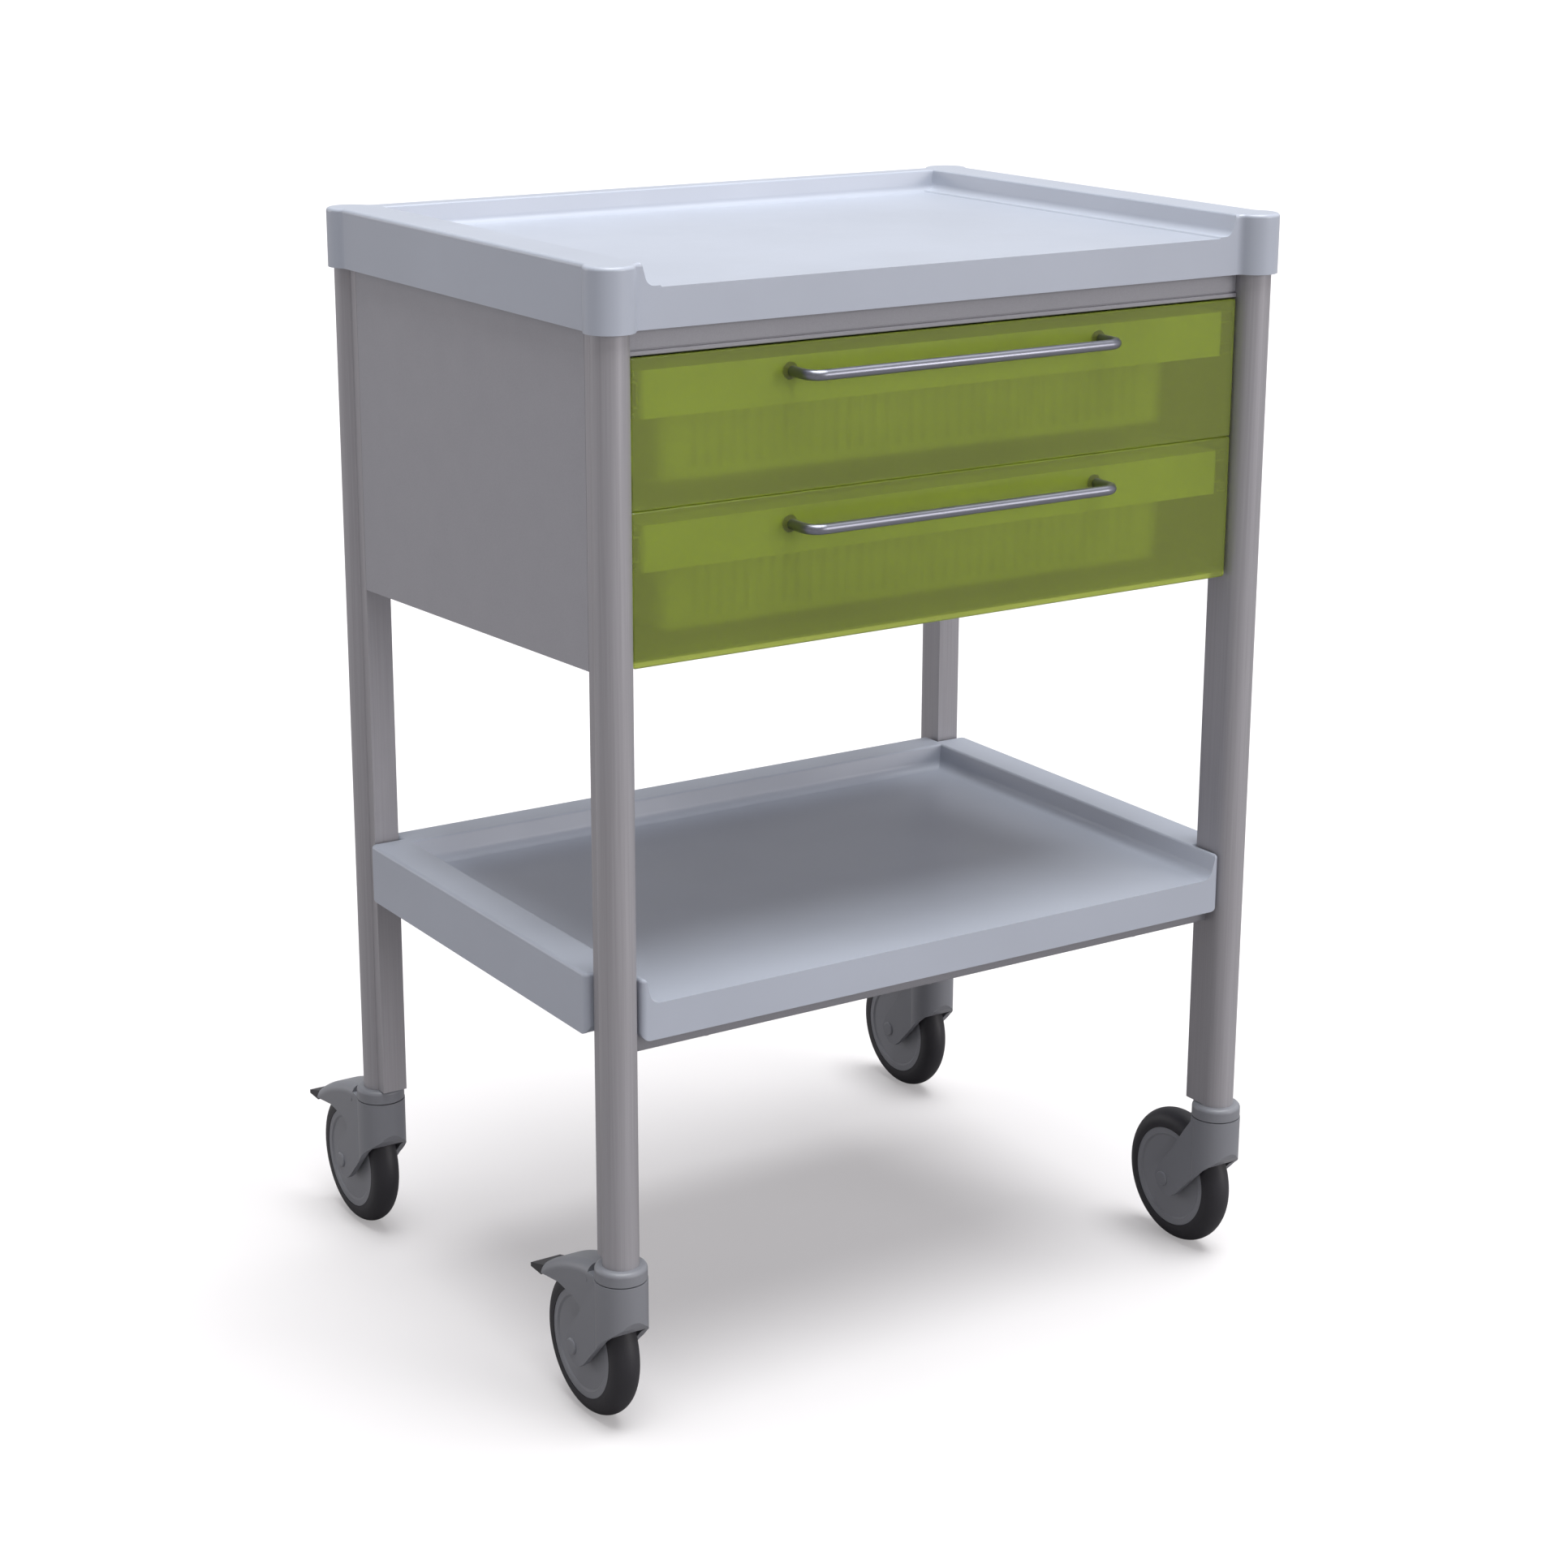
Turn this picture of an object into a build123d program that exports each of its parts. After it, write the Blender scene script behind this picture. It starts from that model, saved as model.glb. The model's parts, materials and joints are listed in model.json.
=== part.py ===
from build123d import *
import math
import os

# Two-drawer bedside trolley: moulded top tray, four posts, side panels, two drawers
# on runners, a moulded lower shelf and four swivel castors, two of them braked.
# Millimetres, +Z up. The front (the drawers) faces -Y and +X is to the right.
# The origin is on the floor, midway between the four castor swivel axes.

os.makedirs("parts", exist_ok=True)

# --- driving dimensions -------------------------------------------------------
AXIS_X = 311.0  # post and castor swivel axes
AXIS_Y = 221.0
FIT = 0.05  # radial running clearance of a pin in its bore

POST_R = 15.0
POST_WALL = 2.0
FIN_IN = 15.0  # the panel fin runs from the tube's inner tangent ...
FIN_OUT = 8.0  # ... to this far outside the post axis
FIN_LENGTH = 24.0
POST_TOP = 926.0
FIN_BOTTOM = 150.5
TUBE_BOTTOM = 141.0

PANEL_TOP = 926.0
SHEET = 2.0
WALL = 3.0  # moulded trays
SCREW_R = 2.0
SCREW_HEAD_R = 4.0
SCREW_HEAD = 2.5
PANEL_SCREW_X = AXIS_X - 4
PANEL_SCREW_Z = (690.0, 860.0)
TRAY_SCREW_Y = (-120.0, 0.0, 120.0)
SHELF_SCREW_X = (-220.0, 0.0, 220.0)
INNER_X = AXIS_X - FIN_IN  # inner faces of the posts
PANEL_X = AXIS_X + FIN_OUT  # outer faces of the side panels
FIN_Y = AXIS_Y - FIN_LENGTH  # end faces of the fins

TRAY_X = 325.0
TRAY_Y = 226.0
TRAY_BOSS_R = 20.0
SOCKET_GAP = 0.2  # round the post, where it enters the tray
TRAY_BOTTOM = 900.0
TRAY_TOP = 950.0
TRAY_FLOOR = 931.0
TRAY_LEDGE = 932.2  # along the side walls
TRAY_RECESS_X = 286.0  # at the top of the walls
TRAY_RECESS_Y = 207.0
TRAY_CREASE_R = 6.0
TRAY_EDGE_R = 3.0
TRAY_FOOT_R = 8.0
RECESS_SLOPE = 5.0  # how far a recess wall leans in on its way down
RECESS_LIP_R = 2.5

SHELF_X = 325.0
SHELF_SIDE_Y = 194.5
SHELF_MID_X = 294.3
SHELF_FRONT_Y = -230.0
SHELF_REAR_Y = 214.0
SHELF_BOTTOM = 339.0
SHELF_TOP = 391.0
SHELF_FLOOR = 369.5
SHELF_RECESS_X = 290.0
SHELF_RECESS_Y = 183.0
SHELF_CORNER_R = 5.0
SHELF_EDGE_R = 3.0
SHELF_FOOT_R = 10.0
RAIL_DEPTH = 20.0
RAIL_BOTTOM = 324.0
RAIL_Y = 203.0

FRONT_Y = -221.0  # outer face of the drawer fronts
FRONT_X = 293.4
FRONT_T = 5.0
FRONT_Z = {"upper": (762.7, 878.6), "lower": (640.4, 762.0)}
RIM_TOP = {"upper": 868.5, "lower": 750.5}
LINER_X = 283.0
LINER_REAR = 190.0
APRON_DROP = 37.0
BASIN_X = 252.0
BASIN_FRONT = -186.0
BASIN_REAR = 182.0
BASIN_DEPTH = 94.0
LINER_WALL = 2.5
STAND_OFF = 0.6
BOSS_R = 7.0
RUNNER_FRONT = -212.0
RUNNER_REAR = 196.0
RUNNER_DROP = 18.5  # rim top down to the runner's centre line
HANDLE_HALF = 150.0
HANDLE_R = 4.25
HANDLE_REACH = 28.0
HANDLE_BEND = 12.0
HANDLE_Z = {"upper": 857.0, "lower": 737.2}

WHEEL_R = 62.5
TRAIL = 46.0  # wheel axle behind the swivel axis
TYRE_HALF = 12.8
RIM_R = 46.0
AXLE_R = 4.0
FORK_R = 22.0
FORK_TOP = 137.2
FORK_GAP = 15.8  # half the space between the legs
STEM_R = 6.0
COLLAR_R = 21.6
COLLAR_BOTTOM = 138.2
COLLAR_TOP = 150.0
PIVOT_Y = 27.0  # brake pedal pivot, behind the swivel axis
PIVOT_Z = 130.0
PIVOT_R = 2.5
HOOD_HALF = 18.0
LEVER_HALF = 11.0
TONGUE_HALF = 14.0

CORNERS = {
    "front_left": (-1, -1),
    "front_right": (1, -1),
    "rear_left": (-1, 1),
    "rear_right": (1, 1),
}
BRAKED = ("front_left", "rear_left")


def save(part, name):
    """Label a finished piece and write it under its node name."""
    part.label = name
    export_step(part, f"parts/{name}.step")


def hole(x, y, z, direction, radius, length):
    """A round hole in the open part, centred on a point and running both ways from it."""
    with Locations(Plane((x, y, z), z_dir=direction)):
        Cylinder(radius, length, mode=Mode.SUBTRACT)


def screw_at(x, y, z, direction, length):
    """A pan-head screw whose head rests at a point; the shank runs along the direction."""
    seat = Plane((x, y, z), z_dir=direction)
    with BuildPart() as screw:
        with BuildSketch(seat):
            Circle(SCREW_R)
        extrude(amount=length)
        with BuildSketch(seat):
            Circle(SCREW_HEAD_R)
        extrude(amount=-SCREW_HEAD)
        fillet(screw.faces().sort_by(Axis((0, 0, 0), direction))[0].edges(), 0.8)
    return screw.part


def box_at(x0, x1, y0, y1, z0, z1, mode=Mode.ADD):
    """A box between two corners, in the open part."""
    with Locations(((x0 + x1) / 2, (y0 + y1) / 2, (z0 + z1) / 2)):
        Box(abs(x1 - x0), abs(y1 - y0), abs(z1 - z0), mode=mode)


def rounded_corner(points, index, radius):
    """Start, middle and end of the arc that rounds a corner, or just the corner."""
    corner = Vector(*points[index])
    if not radius:
        return [corner]
    before = (Vector(*points[index - 1]) - corner).normalized()
    after = (Vector(*points[(index + 1) % len(points)]) - corner).normalized()
    half = math.radians(before.get_angle(after)) / 2
    inward = (before + after).normalized()
    middle = corner + inward * (radius / math.sin(half) - radius)
    reach = radius / math.tan(half)
    return [corner + before * reach, middle, corner + after * reach]


def outline(plane, points, radii):
    """Closed sketch through points of a plane, with a radius for each corner that is rounded."""
    corners = [rounded_corner(points, i, radii.get(i, 0)) for i in range(len(points))]
    with BuildSketch(plane) as sketch:
        with BuildLine():
            for corner, following in zip(corners, corners[1:] + corners[:1]):
                if len(corner) == 3:
                    ThreePointArc(*corner)
                Line(corner[-1], following[0])
        make_face()
    return sketch.sketch


def recess_cutter(side, rear, foot_r):
    """Cutter for a moulded recess that is open at the front.

    The side wall is given as (X, Z) points and the rear wall as (Y, Z) points, both from the
    top down. The walls are rounded at the top and where they meet the floor.
    """
    beyond = 400.0
    top = side[0][1]
    count = 2 * len(side)
    left = [(-x, z) for x, z in side]
    across = [*left, *reversed(side), (beyond, top), (beyond, top + 5), (-beyond, top + 5),
              (-beyond, top)]
    across_radii = {0: RECESS_LIP_R, 1: foot_r, count - 2: foot_r, count - 1: RECESS_LIP_R}
    along = [*rear, (-beyond, rear[1][1]), (-beyond, top + 5), (beyond, top + 5), (beyond, top)]
    with BuildPart() as cutter:
        extrude(outline(Plane.XZ.offset(-beyond), across, across_radii), amount=2 * beyond)
        extrude(outline(Plane.YZ.offset(-beyond), along, {0: RECESS_LIP_R, 1: foot_r}),
                amount=2 * beyond, mode=Mode.INTERSECT)
    return cutter.part


# --- posts --------------------------------------------------------------------
def post_section(sx, sy, inset, z):
    """Sketch of a round tube with a flat fin that points along Y to the panel beside it."""
    with BuildSketch(Plane.XY.offset(z)) as section:
        with Locations((sx * AXIS_X, sy * AXIS_Y)):
            Circle(POST_R - inset)
        width = FIN_IN + FIN_OUT - 2 * inset
        length = FIN_LENGTH - inset
        with Locations((sx * (AXIS_X + (FIN_OUT - FIN_IN) / 2), sy * (AXIS_Y - length / 2))):
            Rectangle(width, length)
    return section.sketch


for corner, (sx, sy) in CORNERS.items():
    with BuildPart() as post:
        extrude(post_section(sx, sy, 0, FIN_BOTTOM), amount=POST_TOP - FIN_BOTTOM)
        with BuildSketch(Plane.XY.offset(TUBE_BOTTOM)):
            with Locations((sx * AXIS_X, sy * AXIS_Y)):
                Circle(POST_R)
        extrude(amount=FIN_BOTTOM - TUBE_BOTTOM)
        hollow = post_section(sx, sy, POST_WALL, FIN_BOTTOM + POST_WALL)
        extrude(hollow, amount=POST_TOP - FIN_BOTTOM - POST_WALL, mode=Mode.SUBTRACT)
        with BuildSketch(Plane.XY.offset(TUBE_BOTTOM)):
            with Locations((sx * AXIS_X, sy * AXIS_Y)):
                Circle(POST_R - POST_WALL)
        extrude(amount=POST_TOP - TUBE_BOTTOM, mode=Mode.SUBTRACT)
        for z in PANEL_SCREW_Z:
            hole(sx * PANEL_SCREW_X, sy * FIN_Y, z, (0, 1, 0), SCREW_R, 3 * POST_WALL)
    save(post.part, f"post_{corner}")

# --- top tray -----------------------------------------------------------------
with BuildPart() as tray:
    with BuildSketch(Plane.XY.offset(TRAY_BOTTOM)) as tray_outline:
        Rectangle(2 * TRAY_X, 2 * TRAY_Y)
        with GridLocations(2 * AXIS_X, 2 * AXIS_Y, 2, 2):
            Circle(TRAY_BOSS_R)
        fillet(tray_outline.vertices(), TRAY_CREASE_R)
    extrude(amount=TRAY_TOP - TRAY_BOTTOM)
    fillet(tray.faces().sort_by(Axis.Z)[-1].edges(), TRAY_EDGE_R)
    # the recess runs out through the front edge, so the front has no rim
    wall_foot = TRAY_RECESS_X - RECESS_SLOPE
    side_wall = [(TRAY_RECESS_X, TRAY_TOP), (wall_foot, TRAY_LEDGE),
                 (wall_foot - 11, TRAY_LEDGE), (wall_foot - 12.2, TRAY_FLOOR)]
    rear_wall = [(TRAY_RECESS_Y, TRAY_TOP), (TRAY_RECESS_Y - RECESS_SLOPE, TRAY_FLOOR)]
    add(recess_cutter(side_wall, rear_wall, TRAY_FOOT_R), mode=Mode.SUBTRACT)
    # hollow underside, with the rim hollow too
    box_at(-TRAY_X + WALL, TRAY_X - WALL, -TRAY_Y + WALL, TRAY_Y - WALL,
           TRAY_BOTTOM, TRAY_FLOOR - WALL, Mode.SUBTRACT)
    for side in (-1, 1):
        box_at(side * (TRAY_RECESS_X + WALL), side * (TRAY_X - WALL), -FIN_Y + 6, FIN_Y - 6,
               TRAY_FLOOR - WALL, TRAY_TOP - WALL, Mode.SUBTRACT)
        with Locations(*[(side * PANEL_SCREW_X, y) for y in TRAY_SCREW_Y]):
            with Locations((0, 0, (PANEL_TOP + TRAY_TOP) / 2 - 1)):
                Cylinder(5, TRAY_TOP - PANEL_TOP - 2)
        for y in TRAY_SCREW_Y:
            hole(side * PANEL_SCREW_X, y, PANEL_TOP, (0, 0, 1), SCREW_R, 24)
    for sx, sy in CORNERS.values():
        socket = post_section(sx, sy, -SOCKET_GAP, TRAY_BOTTOM)
        extrude(socket, amount=POST_TOP - TRAY_BOTTOM, mode=Mode.SUBTRACT)
save(tray.part, "top_tray")

# --- cabinet shell ------------------------------------------------------------
PANEL_FRONT_Z = 637.0  # the side panels' lower edge slopes down to the rear
PANEL_REAR_Z = 622.0
RETURN = 20.0  # panel flange along a fin's end face
FLANGE_Z = 924.0
PANEL_Y = FIN_Y - 0.3

for side, name in ((-1, "side_panel_left"), (1, "side_panel_right")):
    with BuildPart() as panel:
        with BuildSketch(Plane.YZ.offset(side * (PANEL_X - SHEET / 2))):
            with BuildLine():
                Polyline(
                    (-PANEL_Y, PANEL_FRONT_Z),
                    (-PANEL_Y, PANEL_TOP),
                    (PANEL_Y, PANEL_TOP),
                    (PANEL_Y, PANEL_REAR_Z),
                    close=True,
                )
            make_face()
        extrude(amount=SHEET / 2, both=True)
        inner = side * (PANEL_X - SHEET)
        box_at(inner, inner - side * RETURN, -PANEL_Y, PANEL_Y, FLANGE_Z, FLANGE_Z + SHEET)
        for end in (-1, 1):
            face_y = end * PANEL_Y
            box_at(inner, inner - side * RETURN, face_y, face_y - end * SHEET, 650, FLANGE_Z)
            for z in PANEL_SCREW_Z:
                hole(side * PANEL_SCREW_X, face_y, z, (0, 1, 0), SCREW_R + 0.2, 3 * SHEET)
        for y in TRAY_SCREW_Y:
            hole(side * PANEL_SCREW_X, y, FLANGE_Z, (0, 0, 1), SCREW_R + 0.2, 3 * SHEET)
    save(panel.part, name)

panel_screws = []
tray_screws = []
for side in (-1, 1):
    for end in (-1, 1):
        for z in PANEL_SCREW_Z:
            seat_y = end * (PANEL_Y - SHEET)
            panel_screws.append(screw_at(side * PANEL_SCREW_X, seat_y, z, (0, end, 0), 9))
    for y in TRAY_SCREW_Y:
        tray_screws.append(screw_at(side * PANEL_SCREW_X, y, FLANGE_Z, (0, 0, 1), 13))
save(Compound(children=panel_screws), "panel_screws")
save(Compound(children=tray_screws), "tray_screws")

BACK_Y = 203.0
BACK_BOTTOM = 637.0
with BuildPart() as back_panel:
    box_at(-INNER_X + 0.3, INNER_X - 0.3, BACK_Y, BACK_Y + SHEET, BACK_BOTTOM, PANEL_TOP)
    for side in (-1, 1):
        edge = side * (INNER_X - 0.3)
        box_at(edge, edge - side * SHEET, BACK_Y + SHEET, BACK_Y + 14, BACK_BOTTOM, PANEL_TOP)
    box_at(-INNER_X + 4, INNER_X - 4, BACK_Y + SHEET, BACK_Y + 14, PANEL_TOP - SHEET, PANEL_TOP)
save(back_panel.part, "back_panel")

FASCIA_BOTTOM = 879.8
FASCIA_Y = -217.0
LIP_REACH = 1.2  # the lower lip stands this far out, under a groove of the same depth
LIP_TOP = 883.5
GROOVE_TOP = 884.8
FLANGE = 17.0
fascia_profile = [
    (FASCIA_Y, PANEL_TOP),
    (FASCIA_Y, GROOVE_TOP),
    (FASCIA_Y + LIP_REACH, GROOVE_TOP),
    (FASCIA_Y + LIP_REACH, LIP_TOP),
    (FASCIA_Y - LIP_REACH, LIP_TOP),
    (FASCIA_Y - LIP_REACH, FASCIA_BOTTOM),
    (FASCIA_Y + FLANGE, FASCIA_BOTTOM),
    (FASCIA_Y + FLANGE, FASCIA_BOTTOM + SHEET),
    (FASCIA_Y + SHEET + LIP_REACH, FASCIA_BOTTOM + SHEET),
    (FASCIA_Y + SHEET + LIP_REACH, GROOVE_TOP + SHEET),
    (FASCIA_Y + SHEET, GROOVE_TOP + SHEET),
    (FASCIA_Y + SHEET, PANEL_TOP - SHEET),
    (FASCIA_Y + FLANGE, PANEL_TOP - SHEET),
    (FASCIA_Y + FLANGE, PANEL_TOP),
]
with BuildPart() as fascia:
    extrude(outline(Plane.YZ.offset(-INNER_X + 0.3), fascia_profile, {4: 1, 5: 1}),
            amount=2 * (INNER_X - 0.3))
save(fascia.part, "front_fascia")

FLOOR_Z = 643.5
with BuildPart() as cabinet_floor:
    box_at(-INNER_X + 0.3, INNER_X - 0.3, -213, BACK_Y, FLOOR_Z, FLOOR_Z + SHEET)
    box_at(-PANEL_X + SHEET, PANEL_X - SHEET, -PANEL_Y + 2.3, PANEL_Y - 2.3, FLOOR_Z, FLOOR_Z + SHEET)
    for side in (-1, 1):
        edge = side * (PANEL_X - SHEET)
        box_at(edge, edge - side * SHEET, -180, 180, FLOOR_Z + SHEET, FLOOR_Z + 18)
save(cabinet_floor.part, "cabinet_floor")

# --- lower shelf --------------------------------------------------------------
# a middle part reaching forward and back between the posts, and a wing on each side
with BuildPart() as shelf:
    low = SHELF_BOTTOM
    high = SHELF_TOP
    wing = [(-SHELF_SIDE_Y, low), (SHELF_SIDE_Y, low), (SHELF_SIDE_Y, high), (-SHELF_SIDE_Y, high)]
    extrude(outline(Plane.YZ.offset(-SHELF_X), wing, {0: 8, 1: 8}),
            amount=2 * SHELF_X)
    middle = [(-SHELF_MID_X, low), (SHELF_MID_X, low), (SHELF_MID_X, high), (-SHELF_MID_X, high)]
    extrude(outline(Plane.XZ.offset(-SHELF_REAR_Y), middle, {0: 8, 1: 8}),
            amount=SHELF_REAR_Y - SHELF_FRONT_Y)
    with BuildSketch(Plane.XY.offset(low - 1)) as plan:
        Rectangle(2 * SHELF_X, 2 * SHELF_SIDE_Y)
        with Locations((0, (SHELF_REAR_Y + SHELF_FRONT_Y) / 2)):
            Rectangle(2 * SHELF_MID_X, SHELF_REAR_Y - SHELF_FRONT_Y)
        fillet(plan.vertices(), SHELF_CORNER_R)
    extrude(amount=high - low + 2, mode=Mode.INTERSECT)
    fillet(shelf.faces().sort_by(Axis.Z)[-1].edges(), SHELF_EDGE_R)
    side_wall = [(SHELF_RECESS_X, SHELF_TOP), (SHELF_RECESS_X - RECESS_SLOPE, SHELF_FLOOR)]
    rear_wall = [(SHELF_RECESS_Y, SHELF_TOP), (SHELF_RECESS_Y - RECESS_SLOPE, SHELF_FLOOR)]
    add(recess_cutter(side_wall, rear_wall, SHELF_FOOT_R), mode=Mode.SUBTRACT)
    box_at(-SHELF_MID_X + WALL, SHELF_MID_X - WALL, SHELF_FRONT_Y + WALL, SHELF_REAR_Y - WALL,
           SHELF_BOTTOM, SHELF_FLOOR - WALL, Mode.SUBTRACT)
    for side in (-1, 1):
        box_at(side * (SHELF_MID_X - WALL - 1), side * (SHELF_X - WALL), -SHELF_SIDE_Y + WALL,
               SHELF_SIDE_Y - WALL, SHELF_BOTTOM, SHELF_FLOOR - WALL, Mode.SUBTRACT)
        box_at(side * (SHELF_RECESS_X + WALL), side * (SHELF_X - WALL), -SHELF_SIDE_Y + WALL,
               SHELF_SIDE_Y - WALL, SHELF_FLOOR - WALL, SHELF_TOP - WALL, Mode.SUBTRACT)
        box_at(-INNER_X - 0.5, INNER_X + 0.5, side * (RAIL_Y - 10.3), side * (RAIL_Y + 10.3),
               SHELF_BOTTOM, SHELF_FLOOR - WALL, Mode.SUBTRACT)
        for x in SHELF_SCREW_X:
            hole(x, side * RAIL_Y, SHELF_FLOOR - WALL, (0, 0, 1), SCREW_R, 4)
save(shelf.part, "lower_shelf")

shelf_screws = []
for side, name in ((-1, "shelf_rail_front"), (1, "shelf_rail_rear")):
    with BuildPart() as rail:
        rail_top = SHELF_FLOOR - WALL
        y0 = side * RAIL_Y - RAIL_DEPTH / 2
        box_at(-INNER_X, INNER_X, y0, y0 + RAIL_DEPTH, RAIL_BOTTOM, rail_top)
        fillet(rail.edges().filter_by(Axis.X), 2.5)
        box_at(-INNER_X, INNER_X, y0 + 1.5, y0 + RAIL_DEPTH - 1.5, RAIL_BOTTOM + 1.5,
               rail_top - 1.5, Mode.SUBTRACT)
        for x in SHELF_SCREW_X:
            hole(x, side * RAIL_Y, RAIL_BOTTOM, (0, 0, 1), SCREW_R + 0.2, 100)
    save(rail.part, name)
    for x in SHELF_SCREW_X:
        shelf_screws.append(screw_at(x, side * RAIL_Y, RAIL_BOTTOM, (0, 0, 1), rail_top - RAIL_BOTTOM + 2))
save(Compound(children=shelf_screws), "shelf_screws")

# --- drawers ------------------------------------------------------------------
for level in ("upper", "lower"):
    bottom, top = FRONT_Z[level]
    rim = RIM_TOP[level]
    handle_z = HANDLE_Z[level]
    legs = [(side * HANDLE_HALF, handle_z) for side in (-1, 1)]

    with BuildPart() as front:
        box_at(-FRONT_X, FRONT_X, FRONT_Y, FRONT_Y + FRONT_T, bottom, top)
        fillet(front.edges().filter_by(Axis.Y), 2)
        chamfer(front.faces().sort_by(Axis.Y)[0].edges(), 1)
        with BuildSketch(Plane.XZ.offset(-FRONT_Y)):
            with Locations(*legs):
                Circle(SCREW_R + 0.25)
        extrude(amount=-FRONT_T, mode=Mode.SUBTRACT)
    save(front.part, f"drawer_front_{level}")

    with BuildPart() as liner:
        front_back = FRONT_Y + FRONT_T
        liner_front = front_back + STAND_OFF
        basin_bottom = rim - BASIN_DEPTH
        basin_y = (BASIN_FRONT + BASIN_REAR) / 2
        basin_length = BASIN_REAR - BASIN_FRONT
        box_at(-LINER_X, LINER_X, liner_front, LINER_REAR, rim - APRON_DROP, rim)
        fillet(liner.edges().filter_by(Axis.Z), 4)
        box_at(-LINER_X + LINER_WALL, LINER_X - LINER_WALL, liner_front + LINER_WALL,
               LINER_REAR - LINER_WALL, rim - APRON_DROP, rim - LINER_WALL, Mode.SUBTRACT)
        with BuildSketch(Plane.XY.offset(basin_bottom)) as floor_outline:
            with Locations((0, basin_y)):
                RectangleRounded(2 * BASIN_X - 8, basin_length - 8, 10)
        extrude(amount=BASIN_DEPTH, taper=-2)
        rib_pitch = 12.0
        rib_count = 37
        for end in (BASIN_FRONT + 2.5, BASIN_REAR - 2.5):
            with Locations((0, end, basin_bottom + 36)):
                with GridLocations(rib_pitch, 1, rib_count, 1):
                    Box(2.4, 6, 56)
        with BuildSketch(Plane.XY.offset(basin_bottom + LINER_WALL)):
            with Locations((0, basin_y)):
                RectangleRounded(2 * BASIN_X - 13, basin_length - 13, 8)
        extrude(amount=BASIN_DEPTH, taper=-2, mode=Mode.SUBTRACT)
        # bosses round the handle screws carry the front a little way off the liner
        with BuildSketch(Plane.XZ.offset(-front_back)):
            with Locations(*legs):
                Circle(BOSS_R)
        extrude(amount=-STAND_OFF - LINER_WALL / 2)
        with BuildSketch(Plane.XZ.offset(-front_back)):
            with Locations(*legs):
                Circle(SCREW_R + 0.25)
        extrude(amount=-STAND_OFF - LINER_WALL - 1, mode=Mode.SUBTRACT)
    save(liner.part, f"drawer_liner_{level}")

    with BuildPart() as handle:
        reach = FRONT_Y - HANDLE_REACH
        with BuildLine() as bow:
            FilletPolyline(
                (-HANDLE_HALF, FRONT_Y, handle_z),
                (-HANDLE_HALF, reach, handle_z),
                (HANDLE_HALF, reach, handle_z),
                (HANDLE_HALF, FRONT_Y, handle_z),
                radius=HANDLE_BEND,
            )
        with BuildSketch(Plane((-HANDLE_HALF, FRONT_Y, handle_z), z_dir=(0, -1, 0))):
            Circle(HANDLE_R)
        sweep(path=bow.wires()[0])
        with BuildSketch(Plane.XZ.offset(-FRONT_Y)):
            with Locations(*legs):
                Circle(SCREW_R)
        extrude(amount=10, mode=Mode.SUBTRACT)
    save(handle.part, f"drawer_handle_{level}")

    # screws from inside the liner, through the front, into the handle's legs
    screws = []
    for x, z in legs:
        with BuildPart() as screw:
            with BuildSketch(Plane.XZ.offset(-(FRONT_Y - 9))):
                with Locations((x, z)):
                    Circle(SCREW_R)
            extrude(amount=-(9 + FRONT_T + STAND_OFF + LINER_WALL))
            with BuildSketch(Plane.XZ.offset(-(FRONT_Y + FRONT_T + STAND_OFF + LINER_WALL))):
                with Locations((x, z)):
                    Circle(2 * SCREW_R)
            extrude(amount=-2.5)
        screws.append(screw.part)
    save(Compound(children=screws), f"handle_screws_{level}")

    # telescopic runners: the outer member stays on the posts, the inner one on the drawer
    for side, hand in ((-1, "left"), (1, "right")):
        runner_z = rim - RUNNER_DROP
        with BuildPart() as outer_member:
            web = side * INNER_X
            box_at(web, web - side * 1.2, RUNNER_FRONT, RUNNER_REAR, runner_z - 18, runner_z + 18)
            for edge in (-1, 1):
                z = runner_z + edge * 18
                box_at(web, web - side * 9.5, RUNNER_FRONT, RUNNER_REAR, z, z - edge * 1.2)
                lip = web - side * 9.5
                box_at(lip, lip + side * 1.2, RUNNER_FRONT, RUNNER_REAR, z, z - edge * 4)
        save(outer_member.part, f"runner_outer_{level}_{hand}")
        with BuildPart() as inner_member:
            web = side * LINER_X
            box_at(web, web + side * 1.6, RUNNER_FRONT, LINER_REAR - 2, runner_z - 10, runner_z + 10)
            for edge in (-1, 1):
                z = runner_z + edge * 10
                box_at(web, web + side * 11, RUNNER_FRONT, LINER_REAR - 2, z, z - edge * 1.6)
        save(inner_member.part, f"runner_inner_{level}_{hand}")

# --- castors ------------------------------------------------------------------
# Side outlines are in (Y, Z), measured from the swivel axis; each castor trails to +Y.
AXLE_Z = WHEEL_R
CLEAR_R = WHEEL_R + 3
BEARING_R = 15.0
SEAT_DEPTH = 4.0
HEAD_BOTTOM = 116.0
LEG_REACH = 62.0
HOOD_END = 103.0
TONGUE_START = 105.0
PRESS = math.radians(2.5)  # full stroke of the brake pedal


def side_profile(cx, cy, points):
    """Closed sketch on the castor's middle plane from (Y, Z) points about the swivel axis."""
    with BuildSketch(Plane.YZ.offset(cx)) as sketch:
        with BuildLine():
            Polyline(*[(cy + y, z) for y, z in points], close=True)
        make_face()
    return sketch.sketch


def cylinder_x(cx, half, y, z, radius, mode=Mode.ADD):
    """A cylinder along X, centred on the castor's middle plane, in the open part."""
    with Locations(Plane((cx, y, z), z_dir=(1, 0, 0))):
        Cylinder(radius, 2 * half, mode=mode)


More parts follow.
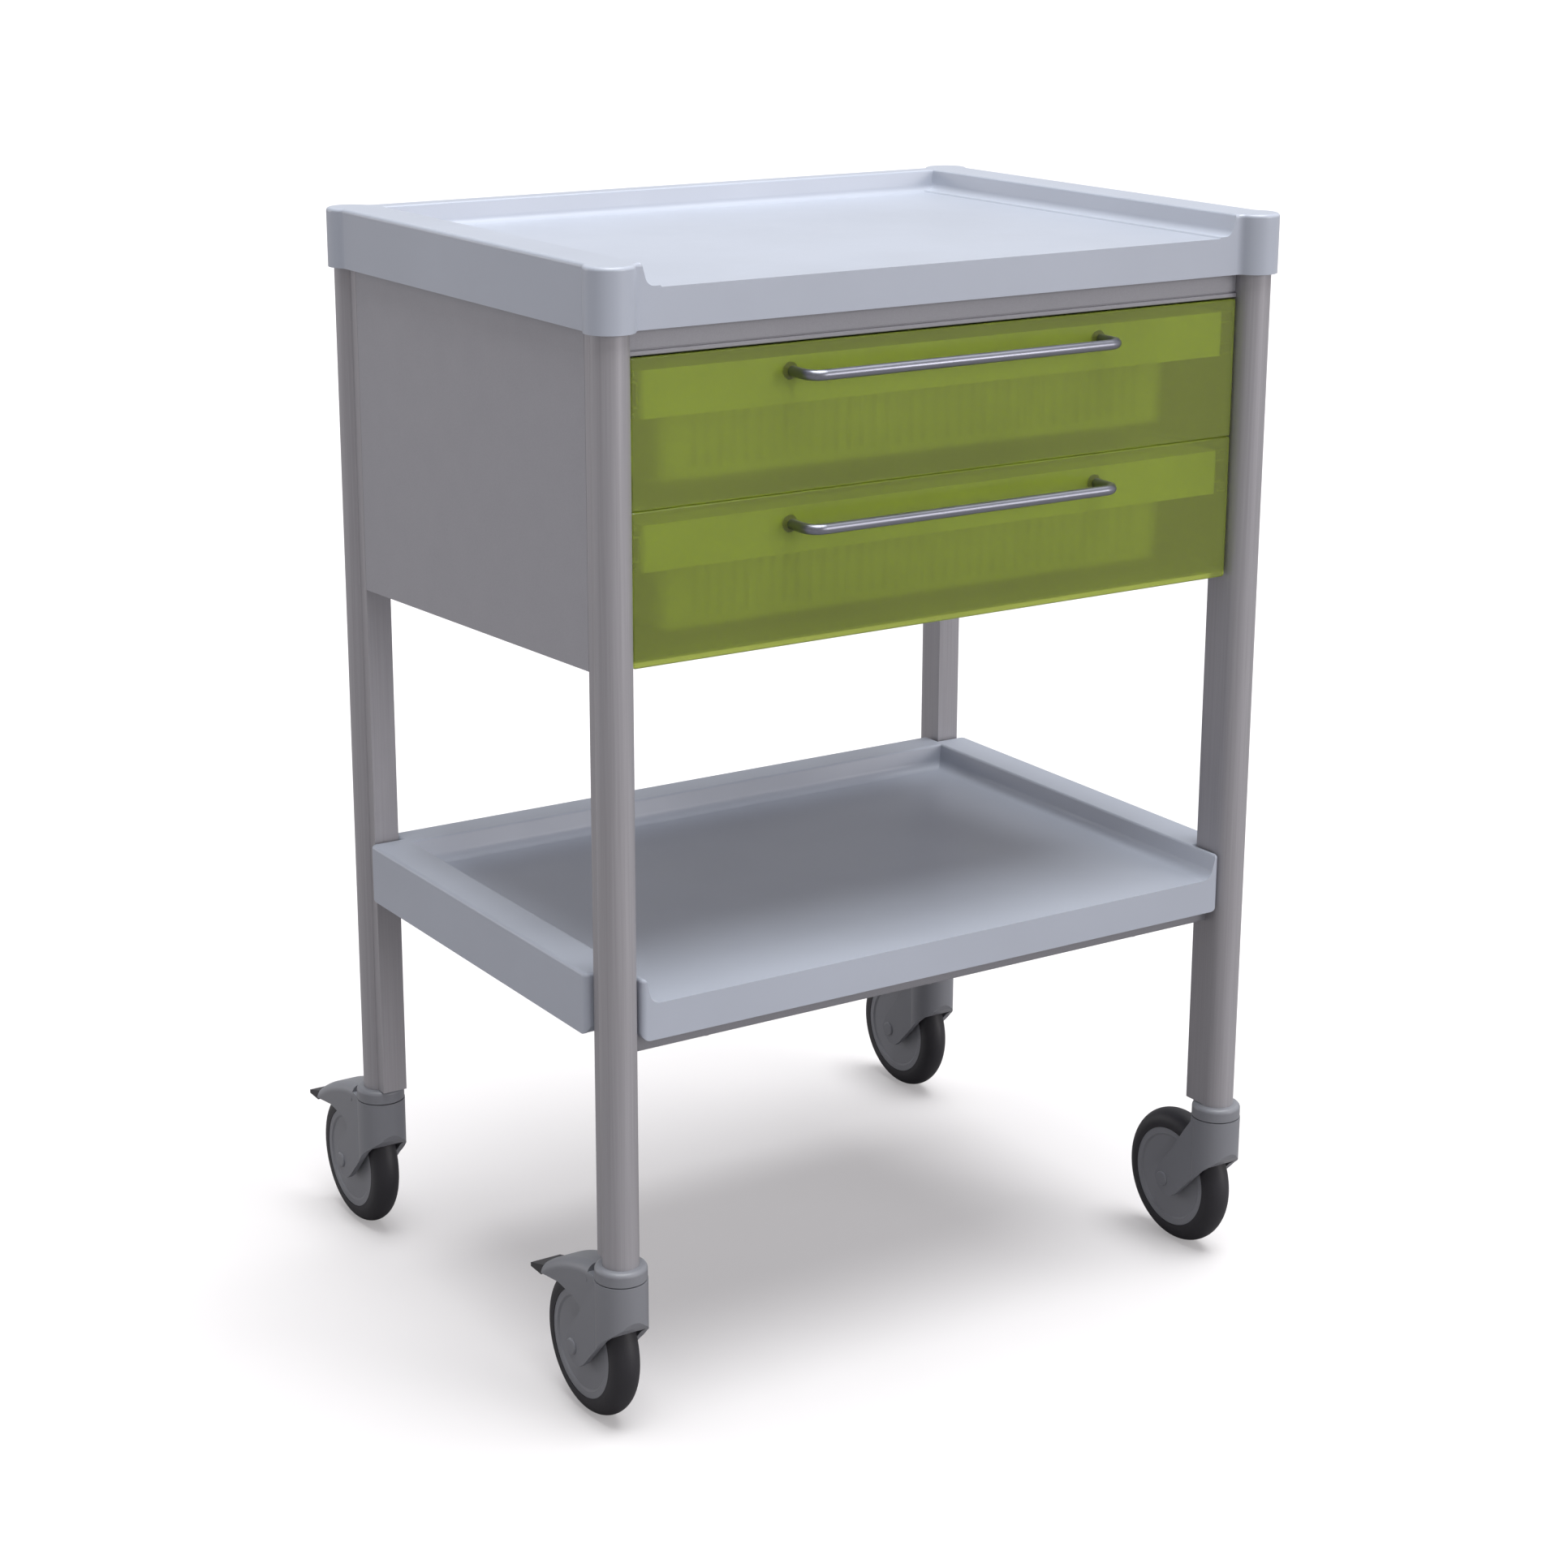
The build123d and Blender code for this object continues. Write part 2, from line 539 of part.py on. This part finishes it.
LEG_SIDE = [(-22, FORK_TOP), (-22, 106), (-19, 100), (-13, 94), (-4, 87), (27, 54), (35, 48),
            (44, 48), (53, 54), (57, 63), (51, 76), (34, 97), (18, 121), (6, FORK_TOP)]
HOOD_SIDE = [(HOOD_END, 113), (HOOD_END, 104), (73, 108), (45, 105), (34, 97), (0, 120),
             (0, FORK_TOP), (24, FORK_TOP), (24, 143.5)]
PEDAL_SLOT = [(20, 134.9), (33, 134.9), (54, 131.8), (71.3, 127.3), (100.5, 112.3), (112, 107), (130, 80),
              (60, 100), (20, 110)]


LEVER_UNDER = ((69.5, 123.8), (99, 108))  # the sloping part of the lever's underside
PEDAL_SIDE = [(25, 133.4), (54, 131), (71, 126.5), (100, 111.5), (104.5, 109.4), (128, 102.4),
              (128, 99), (110, 98.5), (104.5, 102), LEVER_UNDER[1], LEVER_UNDER[0], (53, 128),
              (25, 129)]
TONGUE_SIDE = [(TONGUE_START, 109.2), (128, 102.4), (128, 99), (110, 98.5), (TONGUE_START, 101.7)]


def under_lever(y):
    """Height of the lever's sloping underside."""
    (y0, z0), (y1, z1) = LEVER_UNDER
    return z0 + (y - y0) * (z1 - z0) / (y1 - y0)


PAD_SIDE = [(84, under_lever(84)), (96, under_lever(96)), (96, 100), (84, 100)]
# where the wheel axle stands relative to the pedal once the pedal is pressed
PRESSED_Y = PIVOT_Y + (TRAIL - PIVOT_Y) * math.cos(PRESS) + (PIVOT_Z - AXLE_Z) * math.sin(PRESS)
PRESSED_Z = PIVOT_Z - (PIVOT_Z - AXLE_Z) * math.cos(PRESS) + (TRAIL - PIVOT_Y) * math.sin(PRESS)


def hood(cx, cy):
    """Rounded cover over the brake lever, behind the swivel head."""
    corners = [(cy + y, z) for y, z in HOOD_SIDE]
    with BuildPart() as cover:
        with BuildSketch(Plane.YZ.offset(cx)):
            with BuildLine():
                Polyline(*corners)
                ThreePointArc(corners[-1], (cy + 66, 132.6), corners[0])
            make_face()
        extrude(amount=HOOD_HALF, both=True)
        fillet(cover.edges().filter_by(GeomType.CIRCLE), 9)
    return cover.part


def fork(cx, cy, braked):
    """Swivel body: a round head over two slanting legs, with a hood where there is a brake."""
    with BuildPart() as body:
        extrude(side_profile(cx, cy, LEG_SIDE), amount=FORK_R, both=True)
        with BuildSketch(Plane.XY):
            with Locations((cx, cy)):
                Circle(FORK_R)
            with Locations((cx, cy + LEG_REACH / 2)):
                Rectangle(2 * (FORK_R - 1), LEG_REACH)
        extrude(amount=160, mode=Mode.INTERSECT)
        with BuildSketch(Plane.XY.offset(HEAD_BOTTOM)):
            with Locations((cx, cy)):
                Circle(FORK_R)
        extrude(amount=FORK_TOP - HEAD_BOTTOM)
        if braked:
            add(hood(cx, cy))
            extrude(side_profile(cx, cy, PEDAL_SLOT), amount=LEVER_HALF + 0.8, both=True,
                    mode=Mode.SUBTRACT)
            cylinder_x(cx, FORK_R, cy + PIVOT_Y, PIVOT_Z, PIVOT_R, Mode.SUBTRACT)
        cylinder_x(cx, FORK_GAP, cy + TRAIL, AXLE_Z, CLEAR_R, Mode.SUBTRACT)
        cylinder_x(cx, FORK_R, cy + TRAIL, AXLE_Z, AXLE_R, Mode.SUBTRACT)
        with BuildSketch(Plane.XY.offset(FORK_TOP)):
            with Locations((cx, cy)):
                Circle(STEM_R + FIT)
        extrude(amount=-60, mode=Mode.SUBTRACT)
        with BuildSketch(Plane.XY.offset(FORK_TOP)):
            with Locations((cx, cy)):
                Circle(BEARING_R + 0.4)
        extrude(amount=-SEAT_DEPTH, mode=Mode.SUBTRACT)
    return body.part


def turned(cx, cy, points, arc=None):
    """Solid of revolution about the wheel axle from (X, radius) points, closed by an optional arc."""
    origin = (cx, cy + TRAIL, AXLE_Z)
    with BuildPart() as piece:
        with BuildSketch(Plane(origin, x_dir=(1, 0, 0), z_dir=(0, -1, 0))):
            with BuildLine():
                Polyline(*points, close=arc is None)
                if arc is not None:
                    ThreePointArc(points[-1], arc, points[0])
            make_face()
        revolve(axis=Axis(origin, (1, 0, 0)))
    return piece.part


bearings = []
stems = []
for corner, (sx, sy) in CORNERS.items():
    cx = sx * AXIS_X
    cy = sy * AXIS_Y
    braked = corner in BRAKED

    with BuildPart() as collar:
        with BuildSketch(Plane.XY.offset(COLLAR_BOTTOM)):
            with Locations((cx, cy)):
                Circle(COLLAR_R)
        extrude(amount=COLLAR_TOP - COLLAR_BOTTOM)
        fillet(collar.faces().sort_by(Axis.Z)[-1].edges(), 4)
        with BuildSketch(Plane.XY.offset(TUBE_BOTTOM)):
            with Locations((cx, cy)):
                Circle(POST_R + FIT)
        extrude(amount=20, mode=Mode.SUBTRACT)
        with BuildSketch(Plane.XY.offset(TUBE_BOTTOM)):
            with Locations((cx, cy)):
                Circle(POST_R - POST_WALL - FIT)
        extrude(amount=34)
        with BuildSketch(Plane.XY.offset(COLLAR_BOTTOM)):
            with Locations((cx, cy)):
                Circle(STEM_R)
        extrude(amount=60, mode=Mode.SUBTRACT)
    save(collar.part, f"castor_collar_{corner}")

    with BuildPart() as bearing:
        with BuildSketch(Plane.XY.offset(COLLAR_BOTTOM)):
            with Locations((cx, cy)):
                Circle(BEARING_R)
                Circle(STEM_R, mode=Mode.SUBTRACT)
        extrude(amount=-(COLLAR_BOTTOM - FORK_TOP + SEAT_DEPTH - 0.4))
    bearings.append(bearing.part)

    with BuildPart() as stem:
        with BuildSketch(Plane.XY.offset(112)):
            with Locations((cx, cy)):
                Circle(STEM_R)
        extrude(amount=70)
        with BuildSketch(Plane.XY.offset(TUBE_BOTTOM + 34)):
            with Locations((cx, cy)):
                RegularPolygon(9.5, 6)
        extrude(amount=7)
    stems.append(stem.part)

    save(fork(cx, cy, braked), f"castor_fork_{corner}")

    core = turned(cx, cy, [
        (-14.6, AXLE_R + FIT), (14.6, AXLE_R + FIT), (14.6, 11), (10.2, 14), (11, 38.8),
        (12.3, 40.5), (12.3, RIM_R), (-12.3, RIM_R), (-12.3, 40.5), (-11, 38.8), (-10.2, 14),
        (-14.6, 11),
    ])
    save(core, f"wheel_core_{corner}")
    tyre = turned(cx, cy, [(TYRE_HALF, 50), (TYRE_HALF, RIM_R), (-TYRE_HALF, RIM_R), (-TYRE_HALF, 50)],
                  arc=(0, WHEEL_R))
    save(tyre, f"wheel_tyre_{corner}")
    grip = FORK_R - 1
    axle = turned(cx, cy, [
        (-grip - 1.5, 0), (-grip - 1.5, 6), (-grip - 0.7, 7), (-grip, 7), (-grip, AXLE_R),
        (grip, AXLE_R), (grip, 7), (grip + 0.7, 7), (grip + 1.5, 6), (grip + 1.5, 0),
    ])
    save(axle, f"wheel_axle_{corner}")

    if braked:
        with BuildPart() as pedal:
            extrude(side_profile(cx, cy, PEDAL_SIDE), amount=LEVER_HALF, both=True)
            extrude(side_profile(cx, cy, TONGUE_SIDE), amount=TONGUE_HALF, both=True)
            cylinder_x(cx, LEVER_HALF, cy + PIVOT_Y, PIVOT_Z, 4.2)
            cylinder_x(cx, FORK_R, cy + PIVOT_Y, PIVOT_Z, PIVOT_R + FIT, Mode.SUBTRACT)
        save(pedal.part, f"brake_pedal_{corner}")
        with BuildPart() as pad:
            extrude(side_profile(cx, cy, PAD_SIDE), amount=9, both=True)
            cylinder_x(cx, FORK_R, cy + PRESSED_Y, PRESSED_Z, WHEEL_R + 0.2, Mode.SUBTRACT)
        save(pad.part, f"brake_pad_{corner}")
        with BuildPart() as pin:
            cylinder_x(cx, HOOD_HALF + 0.3, cy + PIVOT_Y, PIVOT_Z, PIVOT_R)
        save(pin.part, f"brake_pin_{corner}")

save(Compound(children=bearings), "swivel_bearings")
save(Compound(children=stems), "castor_stems")
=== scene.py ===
import json
import math

import bpy
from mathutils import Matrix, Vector

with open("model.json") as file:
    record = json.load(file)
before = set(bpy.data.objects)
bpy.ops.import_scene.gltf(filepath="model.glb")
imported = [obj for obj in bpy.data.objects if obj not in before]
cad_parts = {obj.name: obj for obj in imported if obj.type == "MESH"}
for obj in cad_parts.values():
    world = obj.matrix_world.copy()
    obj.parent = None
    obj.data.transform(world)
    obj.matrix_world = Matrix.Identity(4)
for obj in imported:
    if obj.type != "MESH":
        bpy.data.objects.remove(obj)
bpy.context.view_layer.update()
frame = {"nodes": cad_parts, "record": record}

nodes = frame["nodes"]


# --- materials ----------------------------------------------------------------
class Shader:
    """A node material with short calls for the textures used here, in each piece's metres."""

    def __init__(self, name, roughness, **sockets):
        self.material = bpy.data.materials.new(name)
        self.material.use_nodes = True
        self.tree = self.material.node_tree
        self.bsdf = self.tree.nodes["Principled BSDF"]
        self.bsdf.inputs["Roughness"].default_value = roughness
        for socket, value in sockets.items():
            self.bsdf.inputs[socket.replace("_", " ")].default_value = value
        self.place = self.tree.nodes.new("ShaderNodeTexCoord").outputs["Object"]

    def link(self, a, b):
        self.tree.links.new(a, b)

    def stretched(self, scale):
        mapping = self.tree.nodes.new("ShaderNodeMapping")
        mapping.inputs["Scale"].default_value = scale
        self.link(self.place, mapping.inputs["Vector"])
        return mapping.outputs["Vector"]

    def noise(self, scale, detail=3.0, stretch=None):
        noise = self.tree.nodes.new("ShaderNodeTexNoise")
        noise.inputs["Scale"].default_value = scale
        noise.inputs["Detail"].default_value = detail
        self.link(self.stretched(stretch) if stretch else self.place, noise.inputs["Vector"])
        return noise.outputs["Fac"]

    def ramp(self, value, low, high, out_low, out_high):
        fit = self.tree.nodes.new("ShaderNodeMapRange")
        for socket, number in zip(("From Min", "From Max", "To Min", "To Max"),
                                  (low, high, out_low, out_high)):
            fit.inputs[socket].default_value = number
        self.link(value, fit.inputs["Value"])
        return fit.outputs["Result"]

    def mix(self, factor, first, second):
        mix = self.tree.nodes.new("ShaderNodeMix")
        mix.data_type = "RGBA"
        self.link(factor, mix.inputs["Factor"])
        for socket in mix.inputs:
            if socket.type == "RGBA" and socket.name in "AB":
                value = first if socket.name == "A" else second
                if isinstance(value, tuple):
                    socket.default_value = (*value, 1.0)
                else:
                    self.link(value, socket)
        return [o for o in mix.outputs if o.type == "RGBA"][0]

    def colour(self, value):
        self.link(value, self.bsdf.inputs["Base Color"])

    def roughness(self, value):
        self.link(value, self.bsdf.inputs["Roughness"])

    def bump(self, height, strength, distance):
        bump = self.tree.nodes.new("ShaderNodeBump")
        bump.inputs["Strength"].default_value = strength
        bump.inputs["Distance"].default_value = distance
        self.link(height, bump.inputs["Height"])
        self.link(bump.outputs["Normal"], self.bsdf.inputs["Normal"])


def shade(colour, factor):
    return tuple(min(1.0, c * factor) for c in colour)


def moulded(name, colour, roughness, grain=900.0, depth=0.00012, mottle=0.03):
    """Satin moulded plastic: fine grain, faint flow mottling and handling sheen."""
    s = Shader(name, roughness)
    cloud = s.ramp(s.noise(5.0, 4.0), 0.35, 0.65, 0.0, 1.0)
    s.colour(s.mix(cloud, shade(colour, 1 - mottle), shade(colour, 1 + mottle)))
    s.roughness(s.ramp(s.noise(14.0, 5.0), 0.3, 0.7, roughness - 0.02, roughness + 0.03))
    s.bump(s.noise(grain, 2.0), 0.25, depth)
    return s.material


def coated(name, colour, roughness, metallic=0.0):
    """Powder-coated sheet: orange-peel surface with fine speckle."""
    s = Shader(name, roughness, Metallic=metallic)
    speckle = s.ramp(s.noise(1500.0, 2.0), 0.35, 0.65, 0.0, 1.0)
    s.colour(s.mix(speckle, shade(colour, 0.96), shade(colour, 1.04)))
    s.roughness(s.ramp(s.noise(40.0, 4.0), 0.3, 0.7, roughness - 0.04, roughness + 0.05))
    s.bump(s.noise(420.0, 2.0), 0.2, 0.00015)
    return s.material


def drawn_metal(name, colour, roughness, along, metallic=1.0):
    """Metal with the fine lines of drawing or brushing along one axis."""
    stretch = [1.0, 1.0, 1.0]
    stretch["XYZ".index(along)] = 0.01
    s = Shader(name, roughness, Metallic=metallic)
    lines = s.noise(650.0, 4.0, tuple(stretch))
    s.colour(s.mix(s.ramp(lines, 0.3, 0.7, 0.0, 1.0), shade(colour, 0.93), shade(colour, 1.07)))
    s.roughness(s.ramp(lines, 0.3, 0.7, roughness - 0.06, roughness + 0.08))
    s.bump(lines, 0.12, 0.0001)
    return s.material


WHITE = (0.435, 0.465, 0.54)
CASTOR_GREY = (0.20, 0.205, 0.228)
materials = {
    "tray_plastic": moulded("tray_plastic", WHITE, 0.32),
    # painted shade: the shelf is the tray's plastic made 5 % darker, standing in for the shade
    # it sits in under the tray
    "shelf_plastic": moulded("shelf_plastic", shade(WHITE, 0.95), 0.38),
    "post_aluminium": drawn_metal("post_aluminium", (0.35, 0.34, 0.363), 0.42, "Z", 0.3),
    "panel_paint": coated("panel_paint", (0.335, 0.332, 0.365), 0.5),
    "rail_paint": coated("rail_paint", (0.25, 0.25, 0.275), 0.5),
    "liner_plastic": moulded("liner_plastic", (0.80, 0.80, 0.78), 0.4),
    "handle_steel": drawn_metal("handle_steel", (0.25, 0.255, 0.30), 0.34, "X"),
    "screw_steel": drawn_metal("screw_steel", (0.55, 0.55, 0.58), 0.3, "Z"),
    "runner_steel": drawn_metal("runner_steel", (0.34, 0.35, 0.37), 0.4, "Y"),
    "castor_plastic": moulded("castor_plastic", CASTOR_GREY, 0.42),
    "stem_steel": drawn_metal("stem_steel", (0.5, 0.5, 0.52), 0.35, "Z"),
    "axle_steel": moulded("axle_steel", CASTOR_GREY, 0.4),
    "wheel_plastic": moulded("wheel_plastic", (0.235, 0.24, 0.265), 0.45),
    "tyre_rubber": moulded("tyre_rubber", (0.018, 0.017, 0.022), 0.55, 500.0, 0.0002, 0.08),
    "pedal_plastic": moulded("pedal_plastic", (0.025, 0.025, 0.03), 0.5),
    "pad_rubber": moulded("pad_rubber", (0.05, 0.05, 0.05), 0.8),
}

FRONT_GREEN = (0.59, 0.70, 0.12)
acrylic = Shader("front_acrylic", 0.24, Transmission_Weight=0.82, IOR=1.47)
cloud = acrylic.ramp(acrylic.noise(7.0, 3.0), 0.35, 0.65, 0.0, 1.0)
acrylic.colour(acrylic.mix(cloud, shade(FRONT_GREEN, 0.97), shade(FRONT_GREEN, 1.03)))
acrylic.bump(acrylic.noise(1300.0, 2.0), 0.15, 0.0001)
materials["front_acrylic"] = acrylic.material

for part in frame["record"]["subparts"]:
    node = nodes[part["node"]]
    for slot in node.material_slots:
        slot.material = materials[part["material_slot"]]


# --- floor, light and camera --------------------------------------------------
FLOOR_HALF = 60.0
FLOOR_GLOW = 0.27  # lifts the floor's own brightness in the camera's view only
DOME_DIM = 0.32
DOME_BRIGHT = 0.60
DOME_SIDE = (0.8, -0.6, 0.0)  # the dome is brightest on this side
CAMERA_AT = (-1.4372, -2.1976, 1.2471)
CAMERA_AZIMUTH = math.radians(-32.23)
CAMERA_ELEVATION = math.radians(15.978)
mesh = bpy.data.meshes.new("studio_floor")
mesh.from_pydata(
    [(x * FLOOR_HALF, y * FLOOR_HALF, 0.0) for x, y in ((-1, -1), (1, -1), (1, 1), (-1, 1))],
    [], [(0, 1, 2, 3)])
floor = bpy.data.objects.new("studio_floor", mesh)
bpy.context.scene.collection.objects.link(floor)
paper = Shader("floor_paper", 0.9)
tone = paper.ramp(paper.noise(3.0, 2.0), 0.3, 0.7, 0.0, 1.0)
seen = paper.tree.nodes.new("ShaderNodeLightPath").outputs["Is Camera Ray"]
dull = paper.mix(tone, (0.27, 0.26, 0.263), (0.29, 0.28, 0.283))
bright = paper.mix(tone, (0.54, 0.525, 0.53), (0.56, 0.545, 0.55))
paper.colour(paper.mix(seen, dull, bright))
paper.bsdf.inputs["Emission Color"].default_value = (1.0, 0.98, 0.99, 1.0)
paper.link(paper.ramp(seen, 0.0, 1.0, 0.0, FLOOR_GLOW), paper.bsdf.inputs["Emission Strength"])
floor.data.materials.append(paper.material)


def direction_to(azimuth, elevation):
    """The unit vector towards that side; azimuth 0 is the front, a quarter turn the right."""
    return Vector((math.sin(azimuth) * math.cos(elevation),
                   -math.cos(azimuth) * math.cos(elevation), math.sin(elevation)))


def sun(name, azimuth, elevation, strength, angle, colour):
    """A soft light as wide as that angle, from that side, all three in degrees."""
    light = bpy.data.lights.new(name, "SUN")
    light.energy = strength
    light.angle = math.radians(angle)
    light.color = colour
    lamp = bpy.data.objects.new(name, light)
    towards = direction_to(math.radians(azimuth), math.radians(elevation))
    lamp.rotation_euler = towards.to_track_quat("Z", "Y").to_euler()
    lamp.location = towards * 3
    bpy.context.scene.collection.objects.link(lamp)


sun("overhead_softbox", 30, 82, 1.24 * math.pi, 46, (0.98, 1.0, 1.0))
sun("front_softbox", 31, 11, 0.25 * math.pi, 22, (1.0, 0.97, 0.97))
sun("back_softbox", 216, 5, 0.10 * math.pi, 18, (1.0, 0.98, 1.0))

world = bpy.data.worlds.new("studio_dome")
world.use_nodes = True
bpy.context.scene.world = world
tree = world.node_tree
background = tree.nodes["Background"]
direction = tree.nodes.new("ShaderNodeTexCoord").outputs["Generated"]
side = tree.nodes.new("ShaderNodeVectorMath")
side.operation = "DOT_PRODUCT"
side.inputs[1].default_value = DOME_SIDE
tree.links.new(direction, side.inputs[0])
dome = tree.nodes.new("ShaderNodeMapRange")
dome.inputs["From Min"].default_value = -1.0
dome.inputs["To Min"].default_value = DOME_DIM
dome.inputs["To Max"].default_value = DOME_BRIGHT
tree.links.new(side.outputs["Value"], dome.inputs["Value"])
camera_ray = tree.nodes.new("ShaderNodeLightPath").outputs["Is Camera Ray"]
level = tree.nodes.new("ShaderNodeMix")
tree.links.new(camera_ray, level.inputs[0])
tree.links.new(dome.outputs["Result"], level.inputs[2])
level.inputs[3].default_value = 1.0
tree.links.new(level.outputs[0], background.inputs["Strength"])
background.inputs["Color"].default_value = (1.0, 0.985, 1.0, 1.0)

FOCAL_PX = 3816.23
IMAGE_PX = 1932
SENSOR = 36.0
camera_data = bpy.data.cameras.new("camera")
camera_data.sensor_width = SENSOR
camera_data.lens = FOCAL_PX / IMAGE_PX * SENSOR
camera_data.shift_x = 0.0234
camera_data.shift_y = -0.0352
camera_data.clip_end = 200.0
camera = bpy.data.objects.new("camera", camera_data)
camera.location = CAMERA_AT
camera_back = direction_to(CAMERA_AZIMUTH, CAMERA_ELEVATION)
camera.rotation_euler = camera_back.to_track_quat("Z", "Y").to_euler()
bpy.context.scene.collection.objects.link(camera)
bpy.context.scene.camera = camera
bpy.context.scene.view_settings.view_transform = "Standard"
